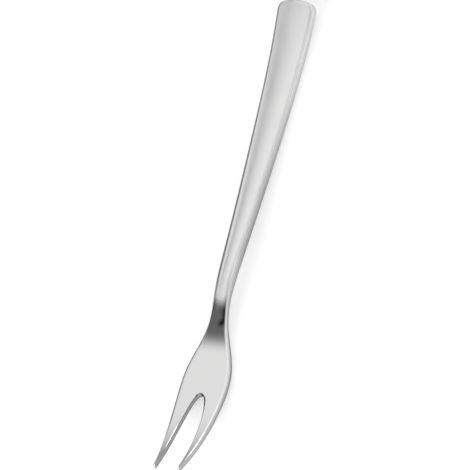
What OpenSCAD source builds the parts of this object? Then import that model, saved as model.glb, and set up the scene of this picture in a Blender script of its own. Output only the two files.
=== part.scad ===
// Serving fork with two tines, forged and ground from one stainless steel blank.
// It lies as it comes to rest on a table, on the belly of its head and the underside
// of its handle. X runs from the tips to the end of the handle, Y across, Z up.

/* [Length] */
// Length over all, from the tips to the end of the handle
fork_len = 160; // [150:1:200]
// Depth of the gap between the tines, from the tips to its root
tine_len = 28.5; // [20:0.5:34]
// Distance from the tips to the widest place of the head
widest_at = 30.5; // [28:0.5:38]
// Distance from the tips to the narrowest place of the neck
neck_at = 59; // [52:0.5:70]

/* [Width] */
// Width of the head at its widest place
head_w = 15.3; // [13:0.1:20]
// Width over the two tips
tip_span = 8.7; // [8:0.1:11]
// Width of the gap between the two tips
gap_w = 7; // [5:0.1:7.4]
// Width of the neck at its narrowest place
neck_w = 5; // [3.6:0.1:7]
// Width of the handle at its end
handle_w = 12.6; // [8:0.1:18]
// How far the sides of the handle swell beyond a straight taper, as a share
side_swell = 0.13; // [0:0.01:0.25]

/* [Thickness] */
// Thickness of the tines at the tips
tip_t = 1.7; // [1.2:0.1:2.4]
// Thickness of the head
head_t = 2.2; // [1.6:0.1:3.4]
// Thickness of the neck at its crest
neck_t = 3.4; // [2.6:0.1:5]
// Thickness of the handle along its middle
handle_t = 3.2; // [2.4:0.1:4.5]
// Thickness of the handle at its end
end_t = 3.3; // [2:0.1:5]

/* [Side curve] */
// Radius of the upward sweep of the tines
tine_sweep = 66; // [56:1:120]
// Distance from the tips to the belly, where the head touches the table
belly_at = 39.5; // [36:0.5:46]
// Distance from the tips to the crest of the neck
crest_at = 65; // [58:0.5:76]
// Height of the underside of the crest above the table
crest_h = 3.6; // [1:0.1:8]
// Distance from the tips to where the handle touches the table
rest_at = 131; // [110:1:140]
// Height of the underside of the handle's end above the table
end_lift = 2.6; // [0:0.1:6]

/* [Surface] */
// Height by which the top of the handle is crowned
handle_crown = 0.45; // [0:0.05:1]
// Radius of the upper edges of the handle
handle_round = 0.8; // [0.2:0.05:1]
// Radius of the upper edges of the head and tines
head_round = 0.5; // [0.1:0.05:0.6]
// Radius of the lower edges
under_round = 0.4; // [0.1:0.05:0.8]
// Length of the rounded end of the handle
end_round = 4.2; // [2:0.1:8]
// Squareness of that end in plan, from 2 for a half ellipse to 4 for nearly square
end_square = 2.8; // [2:0.1:4]
// Length over which each tip is rounded off
tip_round = 0.5; // [0.2:0.1:1]

/* [Hidden] */

// Length before the crest over which the metal thickens, and after it over which it thins
thicken_len = 17;
thin_len = 23;
// Length past the crest at which the metal is thickest
thickest_past = 3;
// Length before the thickening over which the edges start to soften
soften_len = 4;
// Sharpness of the bend where a straight taper begins, as a share of its length
onset = 0.04;
// Powers of the curves of the head's sides, of the gap's sides, of the underside between
// the crest and the place where the handle touches the table, and of its lifted end
side_power = 1.5;
gap_power = 3;
sag_power = 1.5;
lift_power = 2.6;
// Largest share of the local width and thickness that a rounded edge takes
round_share = 0.3;
// Angle at which the rounded end of the handle closes, and at which each tip does
end_close = 84;
tip_close = 75;
// Ribs along the tips, tines, head with neck, handle and its rounded end
tip_ribs = 3;
tine_ribs = 24;
head_ribs = 30;
handle_ribs = 22;
end_ribs = 9;
// Steps over half of the top, and over each rounded edge
top_steps = 4;
edge_steps = 3;
// Length past the thickest place over which the ribs stand as close as in the head
shoulder_past = 5;
// Small length for taking a slope
tiny = 0.01;

thicken_at = crest_at - thicken_len + thickest_past;
thickest_at = crest_at + thickest_past;
thin_at = thickest_at + thin_len;

// Curves from 0 to 1: with level ends, with long level ends, and straight after a short bend
function clamp(u) = min(max(u, 0), 1);
function ease(u) = let (v = clamp(u)) v * v * (3 - 2 * v);
function ease_long(u) = let (v = clamp(u)) v * v * v * (v * (6 * v - 15) + 10);
function bend(v) = sqrt(v * v + onset * onset) - onset;
function rise(u) = bend(clamp(u)) / bend(1);

// Plan: half of the width at the distance x from the tips
function tine_half(x) = (head_w - (head_w - tip_span) * pow(1 - x / widest_at, side_power)) / 2;
function neck_half(x) =
    (neck_w + (head_w - neck_w) * ease_long((neck_at - x) / (neck_at - widest_at))) / 2;
function handle_half(x) =
    let (u = clamp((x - neck_at) / (fork_len - neck_at)))
    (neck_w + (handle_w - neck_w) * rise(u) * (1 + side_swell * (1 - u))) / 2;
function half_width(x) =
    x < widest_at ? tine_half(x) :
    x < neck_at ? neck_half(x) : handle_half(x);
function gap_half(x) = gap_w / 2 * sqrt(1 - pow(x / tine_len, gap_power));

// Side view: height of the underside, and its slope
function tine_under(x) = tine_sweep - sqrt(pow(tine_sweep, 2) - pow(belly_at - x, 2));
function neck_under(x) = crest_h * ease_long((x - belly_at) / (crest_at - belly_at));
function handle_under(x) =
    crest_h * pow(1 - rise((x - crest_at) / (rest_at - crest_at)), sag_power);
function end_under(x) = end_lift * pow((x - rest_at) / (fork_len - rest_at), lift_power);
function under(x) =
    x < belly_at ? tine_under(x) :
    x < crest_at ? neck_under(x) :
    x < rest_at ? handle_under(x) : end_under(x);
function slope(x) = atan((under(x + tiny) - under(x - tiny)) / (2 * tiny));

// Thickness square to the underside
function blade_t(x) = tip_t + (head_t - tip_t) * sin(90 * clamp(x / tine_len));
function swell_t(x) =
    (neck_t - head_t) * ease((x - thicken_at) / (thickest_at - thicken_at));
function shank_t(x) =
    (handle_t - neck_t) * ease((x - thickest_at) / (thin_at - thickest_at))
    + (end_t - handle_t) * clamp((x - thin_at) / (fork_len - thin_at));
function thickness(x) = blade_t(x) + swell_t(x) + shank_t(x);

// Share of the handle's form in a section: 0 in the head, 1 from the crest on
function handle_share(x) =
    ease((x - thicken_at + soften_len) / (crest_at - thicken_at + soften_len));
// Height of the top over the underside at a place [x, y] of the plan
function depth(p) =
    thickness(p[0]) + handle_crown * handle_share(p[0]) * (1 - pow(p[1] / half_width(p[0]), 2));
// Point in space at a place of the plan, h above the underside
function place(p, side, h) =
    let (a = slope(p[0]))
    [p[0] - sin(a) * h, side * p[1], under(p[0]) + cos(a) * h];

// Left outer edge in plan, from the end of the handle to the root of the gap
function end_place(a) =
    let (x = fork_len - end_round * (1 - pow(sin(a), 2 / end_square)))
    [x, half_width(x) * pow(cos(a), 2 / end_square)];
function side_place(from, to, i, n) = let (x = from + (to - from) * i / n) [x, half_width(x)];
root_at = tine_len + head_round;
shoulder_at = thickest_at + shoulder_past;
body_edge = [
    for (i = [0 : end_ribs]) end_place(end_close * (1 - i / end_ribs)),
    for (i = [1 : handle_ribs]) side_place(fork_len - end_round, shoulder_at, i, handle_ribs),
    for (i = [1 : head_ribs]) side_place(shoulder_at, root_at, i, head_ribs)
];

// Edges of the left tine in plan, from the root of the gap to the tip. The ribs between
// them turn with the round root of the gap, and the tip closes on its own middle line.
function gap_place(i) =
    let (x = max(tine_len * pow(cos(90 * i / tine_ribs), 2 / gap_power), tip_round))
    [x, gap_half(x)];
function tip_place(i, side) =
    let (a = tip_close * i / tip_ribs,
         x = tip_round * (1 - sin(a) / sin(tip_close)),
         middle = (half_width(x) + gap_half(x)) / 2)
    [x, middle + side * (half_width(x) - gap_half(x)) / 2 * cos(a)];
tine_outer = [
    for (i = [1 : tine_ribs]) side_place(root_at, tip_round, i, tine_ribs),
    for (i = [1 : tip_ribs]) tip_place(i, 1)
];
tine_inner = [
    for (i = [1 : tine_ribs]) gap_place(i),
    for (i = [1 : tip_ribs]) tip_place(i, -1)
];

// Direction into the metal at each point of an edge, square to the line between its
// neighbours. The outer edge turns left into the metal, and the gap's edge turns right.
function turned(d) = [-d[1], d[0]] / norm(d);
outer_edge = concat(body_edge, tine_outer);
handle_end = body_edge[0];
outer_ring = concat([[handle_end[0], -handle_end[1]]], outer_edge, [tine_inner[len(tine_inner) - 1]]);
outer_in = [for (i = [0 : len(outer_edge) - 1]) turned(outer_ring[i + 2] - outer_ring[i])];
gap_root = [tine_len, 0];
gap_ring = concat([gap_root], tine_inner, [tine_outer[len(tine_outer) - 1]]);
gap_in = [for (i = [0 : len(tine_inner) - 1]) turned(gap_ring[i] - gap_ring[i + 2])];

// Radius of a rounded edge where the metal is not wide or thick enough for all of it
function fitted(r, p, width) = min(r, round_share * width, round_share * thickness(p[0]));
function upper_round(x) = head_round + (handle_round - head_round) * handle_share(x);

// Upright edge at a place of the plan, from the top face to the bottom face
function upright(p, inward, width, side) =
    let (upper = fitted(upper_round(p[0]), p, width), lower = fitted(under_round, p, width))
    [
        for (i = [0 : edge_steps])
            let (a = 90 * i / edge_steps, q = p + inward * upper * (1 - sin(a)))
            place(q, side, depth(q) - upper * (1 - cos(a))),
        for (i = [0 : edge_steps])
            let (a = 90 * i / edge_steps, q = p + inward * lower * (1 - cos(a)))
            place(q, side, lower * (1 - sin(a)))
    ];
// Place where the top face meets the rounded edge, and where the bottom face does
function top_edge(p, inward, width) = p + inward * fitted(upper_round(p[0]), p, width);
function bottom_edge(p, inward, width) = p + inward * fitted(under_round, p, width);

// Points of the top face between two places of one rib
function top_row(from, to, side) = [
    for (i = [1 : top_steps - 1])
        let (q = from + (to - from) * i / top_steps)
        place(q, side, depth(q))
];
function reversed(list) = [for (i = [len(list) - 1 : -1 : 0]) list[i]];

function at_root(i) = i == len(body_edge) - 1;

// Section of the body: top middle, left top, left edge, bottom middle, right edge, right top
function body_section(i) =
    let (p = body_edge[i],
         inward = outer_in[i],
         full = 2 * half_width(p[0]),
         top = at_root(i) ? [root_at, p[1]] : top_edge(p, inward, full),
         bottom = at_root(i) ? [tine_len + fitted(under_round, gap_root, full), 0]
             : bottom_edge(p, inward, full))
    concat(
        [place([top[0], 0], 1, depth([top[0], 0]))],
        top_row([top[0], 0], top_edge(p, inward, full), 1),
        upright(p, inward, full, 1),
        [place([bottom[0], 0], 1, 0)],
        reversed(upright(p, inward, full, -1)),
        reversed(top_row([top[0], 0], top_edge(p, inward, full), -1))
    );

// Section of a tine: inner edge from the bottom up, top, outer edge from the top down
function tine_section(i, side) =
    let (outer = tine_outer[i],
         inner = tine_inner[i],
         outer_to = outer_in[len(body_edge) + i],
         width = norm(outer - inner))
    concat(
        reversed(upright(inner, gap_in[i], width, side)),
        top_row(top_edge(inner, gap_in[i], width), top_edge(outer, outer_to, width), side),
        upright(outer, outer_to, width, side)
    );

// Upright edge at the root of the gap, without its ends, which are the body's own middle
function root_section() =
    let (edge = upright(gap_root, [1, 0], head_w, 1))
    [for (i = [len(edge) - 2 : -1 : 1]) edge[i]];

// Where the points of a section stand in the list of all points
edge_points = 2 * (edge_steps + 1);
body_points = 2 * (top_steps + edge_points);
tine_points = top_steps - 1 + 2 * edge_points;
body_n = len(body_edge);
tine_n = len(tine_outer);
root_start = body_n * body_points;
left_start = root_start + edge_points - 2;
right_start = left_start + tine_n * tine_points;
left_edge = top_steps;
bottom_mid = top_steps + edge_points;
last_body = (body_n - 1) * body_points;

function body_ids(i) = [for (j = [0 : body_points - 1]) i * body_points + j];
function tine_ids(start, i) = [for (j = [0 : tine_points - 1]) start + i * tine_points + j];
// The first section of each tine is half of the body's last one, closed by the gap's root
root_ids = concat(
    [last_body + bottom_mid],
    [for (j = [0 : edge_points - 3]) root_start + j],
    [last_body]
);
left_root = concat(root_ids, [for (j = [1 : bottom_mid - 1]) last_body + j]);
right_root = concat(root_ids, [for (j = [1 : bottom_mid - 1]) last_body + body_points - j]);

// Faces between two sections, wound one way for the left side and the other for the right
function quad(a, b, c, d, side) = side > 0 ? [[a, b, c], [a, c, d]] : [[a, c, b], [a, d, c]];
function strip(one, two, side) = [
    for (j = [0 : len(one) - 1])
        let (k = (j + 1) % len(one))
        each quad(one[j], two[j], two[k], one[k], side)
];
body_faces = [for (i = [0 : body_n - 2]) each strip(body_ids(i), body_ids(i + 1), 1)];
function tine_faces(start, root, side) = [
    each strip(root, tine_ids(start, 0), side),
    for (i = [0 : tine_n - 2]) each strip(tine_ids(start, i), tine_ids(start, i + 1), side)
];
// Faces that close the end of the handle, row by row down its rounded edge
function left_id(k) = left_edge + k;
function right_id(k) = body_points - left_edge - k;
top_ids = [
    for (j = [left_edge : -1 : 0]) j,
    for (j = [body_points - 1 : -1 : right_id(0)]) j
];
end_faces = concat(
    [for (j = [0 : top_steps - 1]) [left_id(1), top_ids[j + 1], top_ids[j]]],
    [[left_id(1), right_id(1), 0]],
    [for (j = [top_steps : 2 * top_steps - 1]) [right_id(1), top_ids[j + 1], top_ids[j]]],
    [for (k = [1 : edge_points - 3])
        each quad(left_id(k), left_id(k + 1), right_id(k + 1), right_id(k), 1)],
    [[left_id(edge_points - 2), bottom_mid - 1, bottom_mid],
     [left_id(edge_points - 2), bottom_mid, right_id(edge_points - 2)],
     [bottom_mid, bottom_mid + 1, right_id(edge_points - 2)]]
);
// Face that closes a tip
function tip_face(start, side) =
    let (ids = tine_ids(start, tine_n - 1))
    [side > 0 ? reversed(ids) : ids];

module serving_fork() {
    points = concat(
        [for (i = [0 : body_n - 1]) each body_section(i)],
        root_section(),
        [for (i = [0 : tine_n - 1]) each tine_section(i, 1)],
        [for (i = [0 : tine_n - 1]) each tine_section(i, -1)]
    );
    faces = concat(
        body_faces,
        end_faces,
        tine_faces(left_start, left_root, 1),
        tine_faces(right_start, right_root, -1),
        tip_face(left_start, 1),
        tip_face(right_start, -1)
    );
    color("gainsboro")
        translate([-fork_len / 2, 0, 0])
            polyhedron(points, faces, convexity = 6);
}

serving_fork();
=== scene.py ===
# A serving fork of stainless steel, forged from one blank: a handle with a fine satin
# finish, a narrow neck, and a polished head with long tapering tines.
from math import atan, cos, hypot, pi, radians, sin, sqrt

import bmesh
import bpy
from mathutils import Matrix, Vector


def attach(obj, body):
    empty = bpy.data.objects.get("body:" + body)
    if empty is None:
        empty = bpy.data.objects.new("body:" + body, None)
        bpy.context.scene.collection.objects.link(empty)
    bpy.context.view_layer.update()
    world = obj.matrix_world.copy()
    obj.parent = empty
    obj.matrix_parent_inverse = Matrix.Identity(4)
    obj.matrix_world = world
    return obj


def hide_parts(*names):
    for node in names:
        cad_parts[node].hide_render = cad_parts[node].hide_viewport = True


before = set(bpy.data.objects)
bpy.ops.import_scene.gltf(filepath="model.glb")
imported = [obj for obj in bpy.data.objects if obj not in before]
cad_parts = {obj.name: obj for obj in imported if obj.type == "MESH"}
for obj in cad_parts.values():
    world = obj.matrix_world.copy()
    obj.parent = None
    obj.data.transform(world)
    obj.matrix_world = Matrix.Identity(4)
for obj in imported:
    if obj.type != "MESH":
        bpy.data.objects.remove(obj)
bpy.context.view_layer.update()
mm = 0.001

# The view
# The fork lies on a table and is seen from above, a little from its right and from the
# side of its tips, with the handle pointing up the picture. The lens is very long.
view_elevation = radians(59.58)
view_azimuth = radians(50.62)
view_roll = radians(14.19)
view_distance = 1846 * mm
looked_at = Vector((0, 0, 4 * mm))

# In pixels: the width of the picture, how much of it a metre takes at the fork, and how far
# the middle of the fork lies from that of the picture
picture_width = 470
picture_scale = 3.277 / mm
middle_offset = (3.78, -2.10)

toward_camera = Vector((
    -cos(view_elevation) * cos(view_azimuth),
    -cos(view_elevation) * sin(view_azimuth),
    sin(view_elevation),
))
handle_up = Vector((1, 0, 0))
handle_up = (handle_up - handle_up.dot(toward_camera) * toward_camera).normalized()
sideways = handle_up.cross(toward_camera)
picture_right = cos(view_roll) * sideways + sin(view_roll) * handle_up
picture_up = cos(view_roll) * handle_up - sin(view_roll) * sideways
offset = middle_offset[0] * picture_right + middle_offset[1] * picture_up
aim = looked_at - offset / picture_scale

bpy.ops.object.camera_add()
camera = bpy.context.object
camera.name = "camera"
camera.data.sensor_width = 36
camera.data.lens = camera.data.sensor_width * picture_scale * view_distance / picture_width
camera.data.clip_start = 0.1
camera.data.clip_end = 20
turn = Matrix((picture_right, picture_up, toward_camera)).transposed().to_4x4()
camera.matrix_world = Matrix.Translation(aim + view_distance * toward_camera) @ turn
bpy.context.scene.camera = camera

# The blank
# One strip of steel, cut to the outline of the fork and sawn in front for the gap. It
# starts as a flat grid whose ribs run across and whose columns run along the fork.
fork_length = 160 * mm
tine_length = 28.5 * mm
widest_at = 30.5 * mm
neck_at = 59 * mm
head_width = 15.3 * mm
tip_span = 8.7 * mm
gap_width = 7.0 * mm
neck_width = 5 * mm
handle_width = 12.6 * mm
side_swell = 0.13
side_power = 1.5
gap_power = 3
end_round = 4.2 * mm
end_square = 2.8
onset = 0.04

tine_ribs = 28
head_ribs = 36
handle_ribs = 30
corner_ribs = 4
all_ribs = tine_ribs + head_ribs + handle_ribs + corner_ribs
corner_angle = radians(52)
root_behind = 0.4 * mm
shoulder_at = 76 * mm
side_columns = 5


def clamp(share):
    return min(max(share, 0.0), 1.0)


def ease(share):
    share = clamp(share)
    return share * share * (3 - 2 * share)


def ease_long(share):
    share = clamp(share)
    return share ** 3 * (share * (6 * share - 15) + 10)


# From 0 to 1, straight after a short bend
def rise(share):
    return (hypot(clamp(share), onset) - onset) / (hypot(1, onset) - onset)


def half_width(x):
    if x < widest_at:
        return (head_width - (head_width - tip_span) * (1 - x / widest_at) ** side_power) / 2
    if x < neck_at:
        wide = ease_long((neck_at - x) / (neck_at - widest_at))
        return (neck_width + (head_width - neck_width) * wide) / 2
    along = clamp((x - neck_at) / (fork_length - neck_at))
    swell = 1 + side_swell * (1 - along)
    return (neck_width + (handle_width - neck_width) * rise(along) * swell) / 2


def gap_half(x):
    return gap_width / 2 * sqrt(max(1 - (x / tine_length) ** gap_power, 0))


# Place on the rounded end of the handle, for an angle from 0 at the side to 90 in the middle
def end_place(angle):
    x = fork_length - end_round * (1 - sin(angle) ** (2 / end_square))
    return x, half_width(x) * cos(angle) ** (2 / end_square)


# How far the rounded end falls back at a distance from the middle, as a share of its length
def end_fall(y):
    return 1 - (1 - (2 * y / handle_width) ** end_square) ** (1 / end_square)


# Inner and outer end of a rib on the left half, with the ribs counted from the tips
def rib_ends(rib):
    root_at = tine_length + root_behind
    side_end = fork_length - end_round
    if rib <= tine_ribs:
        inner = tine_length * cos(pi / 2 * (1 - rib / tine_ribs)) ** (2 / gap_power)
        outer = root_at * rib / tine_ribs
        return (inner, gap_half(inner)), (outer, half_width(outer))
    rib -= tine_ribs
    if rib <= head_ribs:
        x = root_at + (shoulder_at - root_at) * rib / head_ribs
        return (x, 0), (x, half_width(x))
    rib -= head_ribs
    if rib < handle_ribs:
        x = shoulder_at + (side_end - shoulder_at) * rib / handle_ribs
        return (x, 0), (x, half_width(x))
    past = (rib - handle_ribs) / corner_ribs
    return (side_end + end_round * past, 0), end_place(corner_angle * past)


# The column lines cross each rib at its inner and outer end, once close behind each end to
# hold the flat between the rounded edges, and in even steps between
head_round = 0.75 * mm
neck_round = 0.45 * mm
neck_reach = 14 * mm
handle_round = 0.8 * mm
under_round = 0.4 * mm
flat_hold = 0.3 * mm
hold_share = 0.42
spread_ribs = 14
crest_at = 65 * mm
thickest_at = 68 * mm
thicken_at = 51 * mm
soften_len = 4 * mm


# Share of the handle's form: 0 in the head, 1 from the crest of the neck on
def handle_share(x):
    return ease((x - thicken_at + soften_len) / (crest_at - thicken_at + soften_len))


def upper_round(x):
    full = head_round + (handle_round - head_round) * handle_share(x)
    return full + (neck_round - full) * (1 - ease(abs(x - neck_at) / neck_reach))


def plan_place(rib, column):
    inner, outer = rib_ends(rib)
    width = hypot(outer[0] - inner[0], outer[1] - inner[1])
    hold = min(upper_round(outer[0]) + flat_hold, hold_share * width)
    spread = ease((rib - tine_ribs) / spread_ribs)
    first = (hold + (width / side_columns - hold) * spread) / width
    last = 1 - hold / width
    steps = side_columns - 2
    share = ([0] + [first + (last - first) * k / steps for k in range(steps + 1)] + [1])[column]
    y = inner[1] + (outer[1] - inner[1]) * share
    across = share
    if rib > all_ribs - corner_ribs:
        across = end_fall(y) / end_fall(outer[1])
    return inner[0] + (outer[0] - inner[0]) * across, y


# The grid reaches from -1 to 1 both ways, until its points are moved to their places
bpy.ops.object.select_all(action="DESELECT")
bpy.ops.mesh.primitive_grid_add(x_subdivisions=all_ribs, y_subdivisions=2 * side_columns, size=2)
fork = bpy.context.object
fork.name = "forged_fork"
bpy.ops.object.mode_set(mode="EDIT")
bpy.ops.mesh.select_mode(type="EDGE")
bpy.ops.mesh.select_all(action="DESELECT")
blank = bmesh.from_edit_mesh(fork.data)
root_u = 2 * tine_ribs / all_ribs - 1
hair = 0.25 / all_ribs
for edge in blank.edges:
    in_middle = all(abs(v.co.y) < hair for v in edge.verts)
    edge.select_set(in_middle and all(v.co.x < root_u + hair for v in edge.verts))
bmesh.update_edit_mesh(fork.data)
bpy.ops.mesh.edge_split(type="EDGE")

blank = bmesh.from_edit_mesh(fork.data)
places = []
for vertex in blank.verts:
    lean = sum(face.calc_center_median().y for face in vertex.link_faces)
    side = 1 if lean > 0 else -1
    rib = round((vertex.co.x + 1) / 2 * all_ribs)
    column = round(abs(vertex.co.y) * side_columns)
    x, y = plan_place(rib, column)
    places.append((vertex, (x, side * y, 0)))
for vertex, place in places:
    vertex.co = place
bmesh.update_edit_mesh(fork.data)

# Forging
# The blank is drawn out thin toward the tips and left thick from the neck on, and the
# handle is given a low crown. Then all edges are rounded: widely on the head and the
# handle, finely in the neck and underneath.
tip_thickness = 1.7 * mm
head_thickness = 2.2 * mm
neck_thickness = 3.4 * mm
handle_thickness = 3.2 * mm
end_thickness = 3.3 * mm
thin_at = 91 * mm
handle_crown = 0.45 * mm
round_share = 0.34
round_steps = 3
upright_turn = radians(50)
upper_from = 0.25


def thickness(x):
    blade = tip_thickness + (head_thickness - tip_thickness) * sin(pi / 2 * clamp(x / tine_length))
    swell = (neck_thickness - head_thickness) * ease((x - thicken_at) / (thickest_at - thicken_at))
    thin = (handle_thickness - neck_thickness) * ease((x - thickest_at) / (thin_at - thickest_at))
    last = (end_thickness - handle_thickness) * clamp((x - thin_at) / (fork_length - thin_at))
    return blade + swell + thin + last


def top_height(x, y):
    crown = handle_crown * handle_share(x) * (1 - (y / half_width(x)) ** 2)
    return thickness(x) + crown


# Radius of an edge, less where the metal is not wide or thick enough for all of it
def edge_radius(x, upper):
    full = upper_round(x) if upper else under_round
    width = 2 * half_width(x) if x > tine_length else half_width(x) - gap_half(x)
    return min(full, round_share * width, round_share * thickness(x))


bpy.ops.mesh.select_all(action="SELECT")
bpy.ops.mesh.extrude_region_move(TRANSFORM_OT_translate={"value": (0, 0, head_thickness)})
forging = bmesh.from_edit_mesh(fork.data)
for vertex in forging.verts:
    if vertex.select:
        vertex.co.z = top_height(vertex.co.x, vertex.co.y)
bmesh.update_edit_mesh(fork.data)
bpy.ops.mesh.select_all(action="SELECT")
bpy.ops.mesh.normals_make_consistent(inside=False)

forging = bmesh.from_edit_mesh(fork.data)
weight = forging.edges.layers.float.new("bevel_weight_edge")
for edge in forging.edges:
    if edge.calc_face_angle(0) > upright_turn:
        middle = (edge.verts[0].co + edge.verts[1].co) / 2
        upper = middle.z > upper_from * thickness(middle.x)
        edge[weight] = edge_radius(middle.x, upper) / handle_round
bmesh.update_edit_mesh(fork.data)
bpy.ops.object.mode_set(mode="OBJECT")

edges_rounded = fork.modifiers.new("edges_rounded", "BEVEL")
edges_rounded.width = handle_round
edges_rounded.segments = round_steps
edges_rounded.limit_method = "WEIGHT"
edges_rounded.offset_type = "OFFSET"
edges_rounded.use_clamp_overlap = False
bpy.ops.object.modifier_apply(modifier=edges_rounded.name)
smoothed = fork.modifiers.new("smoothed", "SUBSURF")
smoothed.levels = 2
smoothed.render_levels = 2
bpy.ops.object.modifier_apply(modifier=smoothed.name)

# Side curve
# The straight fork is bent in a press: the tines sweep up, the belly touches the table,
# the neck rises to a crest, and the handle comes down again and lifts at its end.
tine_sweep = 66 * mm
belly_at = 39.5 * mm
crest_height = 3.6 * mm
rest_at = 131 * mm
end_lift = 2.6 * mm
sag_power = 1.5
lift_power = 2.6
tiny = 0.01 * mm


def underside(x):
    if x < belly_at:
        return tine_sweep - sqrt(tine_sweep ** 2 - (belly_at - x) ** 2)
    if x < crest_at:
        return crest_height * ease_long((x - belly_at) / (crest_at - belly_at))
    if x < rest_at:
        return crest_height * (1 - rise((x - crest_at) / (rest_at - crest_at))) ** sag_power
    return end_lift * ((x - rest_at) / (fork_length - rest_at)) ** lift_power


gap_outline = [rib_ends(rib)[0] for rib in range(tine_ribs + 1)]


# Distance from the gap in the plan
def from_gap(x, y):
    beside = hypot(max(x - tine_length, 0), max(abs(y) - gap_half(x), 0))
    return min([beside] + [hypot(x - a, abs(y) - b) for a, b in gap_outline])


# The walls that the cutter left are darker in colour, partly as a duller cut face and partly as
# painted shade for the dim table they reflect: all of them in the gap, less on the outer sides
# and no longer toward the end of the handle. Hands wear the handle's edges.
# Each reach is how far in from the edge this goes, in the plan.
wall_reach = 0.25 * mm
handle_reach = 0.55 * mm
darken_limit = 1.6
tine_side_share = 0.75
neck_side_share = 0.25
handle_side_share = 0.55
wall_fade = 55 * mm
wear_reach = 0.6 * mm
wear_limit = 2

dull_and_shaded = fork.data.attributes.new("dull_and_shaded", "FLOAT", "POINT")
worn = fork.data.attributes.new("worn", "FLOAT", "POINT")
for vertex in fork.data.vertices:
    x, y, height = vertex.co
    in_gap = clamp(darken_limit - from_gap(x, y) / wall_reach)
    in_handle = ease((x - crest_at) / (shoulder_at - crest_at))
    reach = wall_reach + (handle_reach - wall_reach) * in_handle
    at_side = clamp(darken_limit - (half_width(x) - abs(y)) / reach)
    fade = ease((x - thin_at) / wall_fade)
    toward_neck = ease((x - widest_at) / (thicken_at - widest_at))
    side_share = tine_side_share + (neck_side_share - tine_side_share) * toward_neck
    side_share += (handle_side_share - neck_side_share) * in_handle
    dull_and_shaded.data[vertex.index].value = max(in_gap, side_share * at_side * (1 - fade))
    from_side = half_width(min(x, fork_length - end_round)) - abs(y)
    worn.data[vertex.index].value = clamp(wear_limit - from_side / wear_reach) * handle_share(x)
    slope = atan((underside(x + tiny) - underside(x - tiny)) / (2 * tiny))
    vertex.co = (
        x - sin(slope) * height - fork_length / 2,
        y,
        underside(x) + cos(slope) * height,
    )
bpy.ops.object.shade_smooth()

# Finish
# The head, tines and neck are polished bright. The handle has a fine satin finish,
# brushed along its length, and the change between the two is bowed across the neck.
steel_tone = (0.737, 0.736, 0.733, 1)
# The darker colour of the cut walls: partly a duller cut face, partly painted shade
wall_shade_tone = (0.382, 0.381, 0.38, 1)
satin_from = 52.7 * mm
satin_to = 59.7 * mm
satin_bow = 0.35 / mm

steel = bpy.data.materials.new("stainless_steel")
steel.use_nodes = True
nodes, links = steel.node_tree.nodes, steel.node_tree.links
shader = nodes["Principled BSDF"]
shader.inputs["Metallic"].default_value = 1
shader.inputs["Base Color"].default_value = steel_tone
place = nodes.new("ShaderNodeTexCoord")
apart = nodes.new("ShaderNodeSeparateXYZ")
links.new(place.outputs["Object"], apart.inputs["Vector"])
from_middle = nodes.new("ShaderNodeMath")
from_middle.operation = "MULTIPLY"
links.new(apart.outputs["Y"], from_middle.inputs[0])
links.new(apart.outputs["Y"], from_middle.inputs[1])
bowed = nodes.new("ShaderNodeMath")
bowed.operation = "MULTIPLY_ADD"
bowed.inputs[1].default_value = -satin_bow
links.new(from_middle.outputs["Value"], bowed.inputs[0])
links.new(apart.outputs["X"], bowed.inputs[2])
satin = nodes.new("ShaderNodeMapRange")
satin.interpolation_type = "SMOOTHSTEP"
satin.inputs["From Min"].default_value = satin_from - fork_length / 2
satin.inputs["From Max"].default_value = satin_to - fork_length / 2
links.new(bowed.outputs["Value"], satin.inputs["Value"])

# Fine brush marks run along the handle. Wider patches, as handling leaves them, vary the
# roughness of both finishes.
brush_scale = (0.2 / mm, 7 / mm, 7 / mm)
patch_scale = (0.12 / mm, 0.35 / mm, 0.35 / mm)
patch_low, patch_high = 0.3, 0.7
satin_low, satin_high = 0.31, 0.36
polished_low, polished_high = 0.055, 0.095
wear_smooths = 0.05
lay_strength = 0.93
polished_marks = 0.06
mark_depth = 0.004 * mm

brushed = nodes.new("ShaderNodeMapping")
brushed.inputs["Scale"].default_value = brush_scale
links.new(place.outputs["Object"], brushed.inputs["Vector"])
grain = nodes.new("ShaderNodeTexNoise")
grain.inputs["Scale"].default_value = 1
grain.inputs["Detail"].default_value = 3
links.new(brushed.outputs["Vector"], grain.inputs["Vector"])
handled = nodes.new("ShaderNodeMapping")
handled.inputs["Scale"].default_value = patch_scale
links.new(place.outputs["Object"], handled.inputs["Vector"])
patches = nodes.new("ShaderNodeTexNoise")
patches.inputs["Scale"].default_value = 1
patches.inputs["Detail"].default_value = 4
links.new(handled.outputs["Vector"], patches.inputs["Vector"])

satin_roughness = nodes.new("ShaderNodeMapRange")
satin_roughness.inputs["From Min"].default_value = patch_low
satin_roughness.inputs["From Max"].default_value = patch_high
satin_roughness.inputs["To Min"].default_value = satin_low
satin_roughness.inputs["To Max"].default_value = satin_high
links.new(patches.outputs["Fac"], satin_roughness.inputs["Value"])
use_wear = nodes.new("ShaderNodeAttribute")
use_wear.attribute_name = "worn"
less_rough = nodes.new("ShaderNodeMath")
less_rough.operation = "MULTIPLY_ADD"
less_rough.inputs[1].default_value = -wear_smooths
links.new(use_wear.outputs["Fac"], less_rough.inputs[0])
links.new(satin_roughness.outputs["Result"], less_rough.inputs[2])
polished_roughness = nodes.new("ShaderNodeMapRange")
polished_roughness.inputs["From Min"].default_value = patch_low
polished_roughness.inputs["From Max"].default_value = patch_high
polished_roughness.inputs["To Min"].default_value = polished_low
polished_roughness.inputs["To Max"].default_value = polished_high
links.new(patches.outputs["Fac"], polished_roughness.inputs["Value"])
roughness = nodes.new("ShaderNodeMix")
roughness.data_type = "FLOAT"
links.new(satin.outputs["Result"], roughness.inputs["Factor"])
links.new(polished_roughness.outputs["Result"], roughness.inputs["A"])
links.new(less_rough.outputs["Value"], roughness.inputs["B"])
links.new(roughness.outputs["Result"], shader.inputs["Roughness"])
lay = nodes.new("ShaderNodeMath")
lay.operation = "MULTIPLY"
lay.inputs[1].default_value = lay_strength
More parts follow.
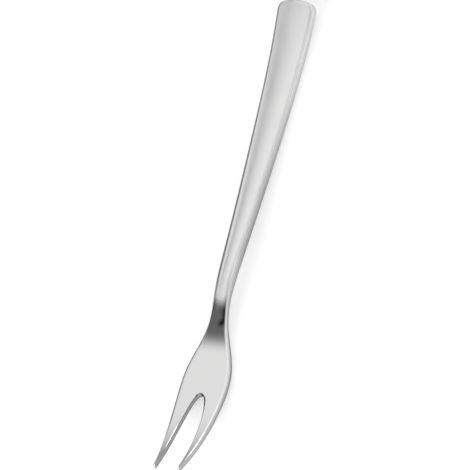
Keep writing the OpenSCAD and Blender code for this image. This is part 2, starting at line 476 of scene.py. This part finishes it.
links.new(satin.outputs["Result"], lay.inputs[0])
links.new(lay.outputs["Value"], shader.inputs["Anisotropic"])
lengthwise = nodes.new("ShaderNodeCombineXYZ")
lengthwise.inputs["X"].default_value = 1
links.new(lengthwise.outputs["Vector"], shader.inputs["Tangent"])
relief = nodes.new("ShaderNodeMapRange")
relief.inputs["To Min"].default_value = polished_marks
relief.inputs["To Max"].default_value = 1
links.new(satin.outputs["Result"], relief.inputs["Value"])
brush_marks = nodes.new("ShaderNodeBump")
brush_marks.inputs["Distance"].default_value = mark_depth
links.new(relief.outputs["Result"], brush_marks.inputs["Strength"])
links.new(grain.outputs["Fac"], brush_marks.inputs["Height"])
links.new(brush_marks.outputs["Normal"], shader.inputs["Normal"])

# Painted shade: at a grazing angle the head and the neck shine less than the end of the handle
# does, which darkens their edges
grazing_from = 85 * mm
grazing_to = 145 * mm
neck_grazing_shade = (0.2, 0.2, 0.2, 1)
end_grazing = (0.7, 0.7, 0.7, 1)

toward_end = nodes.new("ShaderNodeMapRange")
toward_end.inputs["From Min"].default_value = grazing_from - fork_length / 2
toward_end.inputs["From Max"].default_value = grazing_to - fork_length / 2
links.new(apart.outputs["X"], toward_end.inputs["Value"])
grazing_shade = nodes.new("ShaderNodeMix")
grazing_shade.data_type = "RGBA"
grazing_shade.inputs["A"].default_value = neck_grazing_shade
grazing_shade.inputs["B"].default_value = end_grazing
links.new(toward_end.outputs["Result"], grazing_shade.inputs["Factor"])
links.new(grazing_shade.outputs["Result"], shader.inputs["Specular Tint"])
# Painted shade, with a duller cut face: the walls' colour goes toward the darker tone by this
# attribute
shaded_wall = nodes.new("ShaderNodeAttribute")
shaded_wall.attribute_name = "dull_and_shaded"
tone = nodes.new("ShaderNodeMix")
tone.data_type = "RGBA"
tone.inputs["A"].default_value = steel_tone
tone.inputs["B"].default_value = wall_shade_tone
links.new(shaded_wall.outputs["Fac"], tone.inputs["Factor"])
links.new(tone.outputs["Result"], shader.inputs["Base Color"])
fork.data.materials.clear()
fork.data.materials.append(steel)
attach(fork, "root")
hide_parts("serving_fork")

# Studio
# A pale table top in a white room that is lit by broad soft boxes. A dark card in front
# of the tips shows in the slope of the neck, and the room is dark on the far left.
table_radius = 1.5
table_tone = (0.9, 0.9, 0.9, 1)
table_lift = 0.29

bpy.ops.object.select_all(action="DESELECT")
bpy.ops.mesh.primitive_circle_add(vertices=64, radius=table_radius, fill_type="NGON")
table_top = bpy.context.object
table_top.name = "table_top"
pale = bpy.data.materials.new("pale_table")
pale.use_nodes = True
nodes, links = pale.node_tree.nodes, pale.node_tree.links
shader = nodes["Principled BSDF"]
shader.inputs["Base Color"].default_value = table_tone
shader.inputs["Roughness"].default_value = 1
shader.inputs["Specular IOR Level"].default_value = 0
shader.inputs["Emission Color"].default_value = (1, 1, 1, 1)

# The top is brighter to the camera, in reflections and through glass, but lights nothing
seen = nodes.new("ShaderNodeLightPath")
either = nodes.new("ShaderNodeMath")
either.operation = "MAXIMUM"
any_of = nodes.new("ShaderNodeMath")
any_of.operation = "MAXIMUM"
lift = nodes.new("ShaderNodeMath")
lift.operation = "MULTIPLY"
lift.inputs[1].default_value = table_lift
links.new(seen.outputs["Is Camera Ray"], either.inputs[0])
links.new(seen.outputs["Is Glossy Ray"], either.inputs[1])
links.new(either.outputs["Value"], any_of.inputs[0])
links.new(seen.outputs["Is Transmission Ray"], any_of.inputs[1])
links.new(any_of.outputs["Value"], lift.inputs[0])
links.new(lift.outputs["Value"], shader.inputs["Emission Strength"])
table_top.data.materials.append(pale)

world = bpy.data.worlds.new("studio")
bpy.context.scene.world = world
world.use_nodes = True
nodes, links = world.node_tree.nodes, world.node_tree.links
background = nodes["Background"]
background.inputs["Color"].default_value = (1, 1, 1, 1)
way = nodes.new("ShaderNodeTexCoord")
parts_of_way = nodes.new("ShaderNodeSeparateXYZ")
links.new(way.outputs["Generated"], parts_of_way.inputs["Vector"])
along, across, upward = (parts_of_way.outputs[name] for name in "XYZ")


# 0 where a part of the direction is at the first value, 1 where it is at the second
def soft_step(value, first, second):
    step = nodes.new("ShaderNodeMapRange")
    step.interpolation_type = "SMOOTHSTEP"
    step.inputs["From Min"].default_value = first
    step.inputs["From Max"].default_value = second
    links.new(value, step.inputs["Value"])
    return step.outputs["Result"]


def both(operation, one, two):
    node = nodes.new("ShaderNodeMath")
    node.operation = operation
    for socket, value in zip(node.inputs, (one, two)):
        if isinstance(value, bpy.types.NodeSocket):
            links.new(value, socket)
        else:
            socket.default_value = value
    return node.outputs["Value"]


# The light with a share of it taken away where the mask is 1
def shaded(light, mask, share):
    return both("MULTIPLY", light, both("SUBTRACT", 1, both("MULTIPLY", mask, share)))


def product(*masks):
    result = masks[0]
    for mask in masks[1:]:
        result = both("MULTIPLY", result, mask)
    return result


# Along counts toward the end of the handle and across toward the left of the picture. The
# room is a little brighter on the right.
sky_level = 1.23
left_drop = 0.24
light = both("SUBTRACT", sky_level, both("MULTIPLY", soft_step(across, 0.2, 0.38), left_drop))

# The dark card in front of the tips, whose near edge is slanted a little
card_middle = 0.39
card_slant = 0.4
aslant = both("MULTIPLY", both("SUBTRACT", across, card_middle), card_slant)
card_edge = both("SUBTRACT", along, aslant)
card = product(
    soft_step(card_edge, 0.23, -0.17),
    soft_step(along, -0.62, -0.50),
    soft_step(across, -0.92, -0.78),
    soft_step(across, 0.96, 0.89),
)
light = shaded(light, card, share=0.84)

# A black card before its middle and its right, with a slanted lower edge
black_slant = 5
black_edge = both("SUBTRACT", across, both("MULTIPLY", along, black_slant))
black_card = product(
    soft_step(along, -0.19, -0.25),
    soft_step(along, -0.55, -0.40),
    soft_step(across, 0.41, 0.34),
    soft_step(across, -0.6, -0.4),
    soft_step(black_edge, 1.92, 1.62),
)
light = shaded(light, black_card, share=0.95)

# Two grey cards that reach nearer, one on the right and one on the left
right_card = product(
    soft_step(along, 0.02, -0.12),
    soft_step(along, -0.55, -0.40),
    soft_step(across, 0.10, -0.05),
)
light = shaded(light, right_card, share=0.6)
left_card = product(
    soft_step(along, 0.02, -0.12),
    soft_step(along, -0.55, -0.40),
    soft_step(across, 0.57, 0.65),
    soft_step(across, 0.96, 0.89),
)
light = shaded(light, left_card, share=0.6)

# A thin screen on the right, and less light on the far right
right_screen = product(
    soft_step(across, 0.12, -0.05),
    soft_step(across, -0.45, -0.25),
    soft_step(along, 0.68, 0.5),
)
light = shaded(light, right_screen, share=0.3)
light = shaded(light, soft_step(across, -0.4, -0.75), share=0.2)

# On the left, a strip box with a dim space beside it
between_boxes = product(
    soft_step(across, 0.40, 0.48),
    soft_step(across, 0.60, 0.54),
    soft_step(along, 0.04, 0.20),
)
light = shaded(light, between_boxes, share=0.42)
strip_box = product(
    soft_step(across, 0.56, 0.60),
    soft_step(across, 0.70, 0.65),
    soft_step(along, -0.10, 0.06),
)
strip_gain = 0.5
light = both("ADD", light, both("MULTIPLY", strip_box, strip_gain))

# The dark part of the room on the far left, and the dim wall past the end of the handle
far_left = product(soft_step(across, 0.66, 0.71), soft_step(along, 0.1, 0.28))
light = shaded(light, far_left, share=0.96)
low_end = product(soft_step(along, 0.5, 0.7), soft_step(upward, 0.62, 0.0))
light = shaded(light, low_end, share=0.68)

# A small bright lamp low past the end of the handle
glint_rim = radians(10.5)
glint_core = radians(7)
glint_gain = 2.5
glint_way = nodes.new("ShaderNodeVectorMath")
glint_way.operation = "DOT_PRODUCT"
glint_way.inputs[1].default_value = Vector((0.82, -0.42, 0.4)).normalized()
links.new(way.outputs["Generated"], glint_way.inputs[0])
glint = soft_step(glint_way.outputs["Value"], cos(glint_rim), cos(glint_core))
light = both("ADD", light, both("MULTIPLY", glint, glint_gain))

# The camera itself sees plain white walls
seen = nodes.new("ShaderNodeLightPath")
shown = nodes.new("ShaderNodeMix")
shown.data_type = "FLOAT"
links.new(seen.outputs["Is Camera Ray"], shown.inputs["Factor"])
links.new(light, shown.inputs["A"])
shown.inputs["B"].default_value = 1
links.new(shown.outputs["Result"], background.inputs["Strength"])

# A soft box beyond the tips brings the light on the table to a plain level
lamp_distance = 1.2
lamp_way = Vector((-0.8, 0.42, 0.43)).normalized()
bpy.ops.object.light_add(type="AREA")
soft_box = bpy.context.object
soft_box.name = "soft_box"
soft_box.data.shape = "SQUARE"
soft_box.data.size = 0.7
soft_box.data.energy = 7
soft_box.location = lamp_distance * lamp_way
soft_box.rotation_euler = lamp_way.to_track_quat("Z", "Y").to_euler()

bpy.context.scene.view_settings.view_transform = "Standard"
